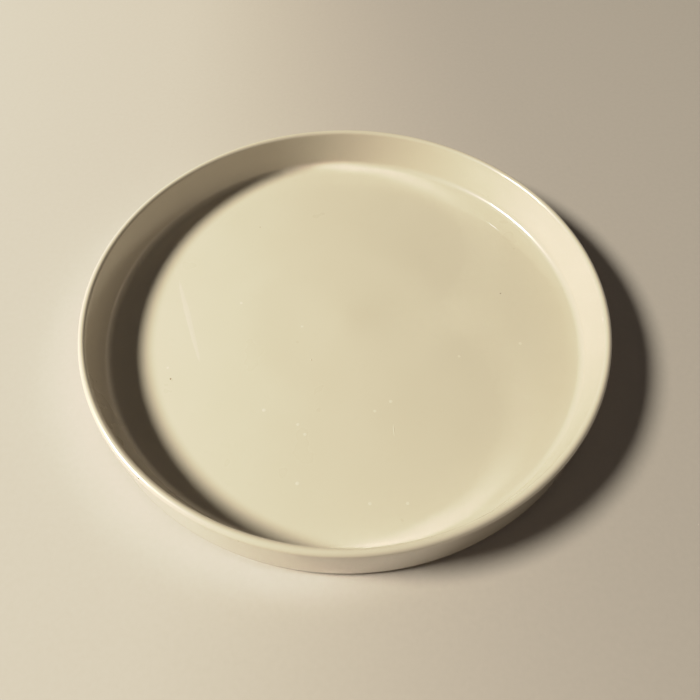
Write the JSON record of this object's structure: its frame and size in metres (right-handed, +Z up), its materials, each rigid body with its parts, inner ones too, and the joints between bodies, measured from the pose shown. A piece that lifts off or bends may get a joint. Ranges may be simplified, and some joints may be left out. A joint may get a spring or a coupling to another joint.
{
  "type": "evaporating dish",
  "caption": "Wide, shallow round dish in glazed ceramic, with a flat floor, an upright wall, a rounded lip and a bare foot ring to stand on.",
  "frame": {"origin": "centre of the circle that the foot ring stands on, at the level of the table", "axes": "+Z up along the dish's axis of revolution, towards the open mouth; X and Y are any two level directions, because the dish is round"},
  "size_m": [0.3, 0.3, 0.03],
  "materials": {
    "biscuit": "bare fired porcelain, fine-grained and matt",
    "glaze": "glossy ivory-white glaze"
  },
  "bodies": {
    "root": {"porcelain_body": "biscuit", "glaze_coat": "glaze", "underside_glaze": "glaze"}
  },
  "joints": []
}
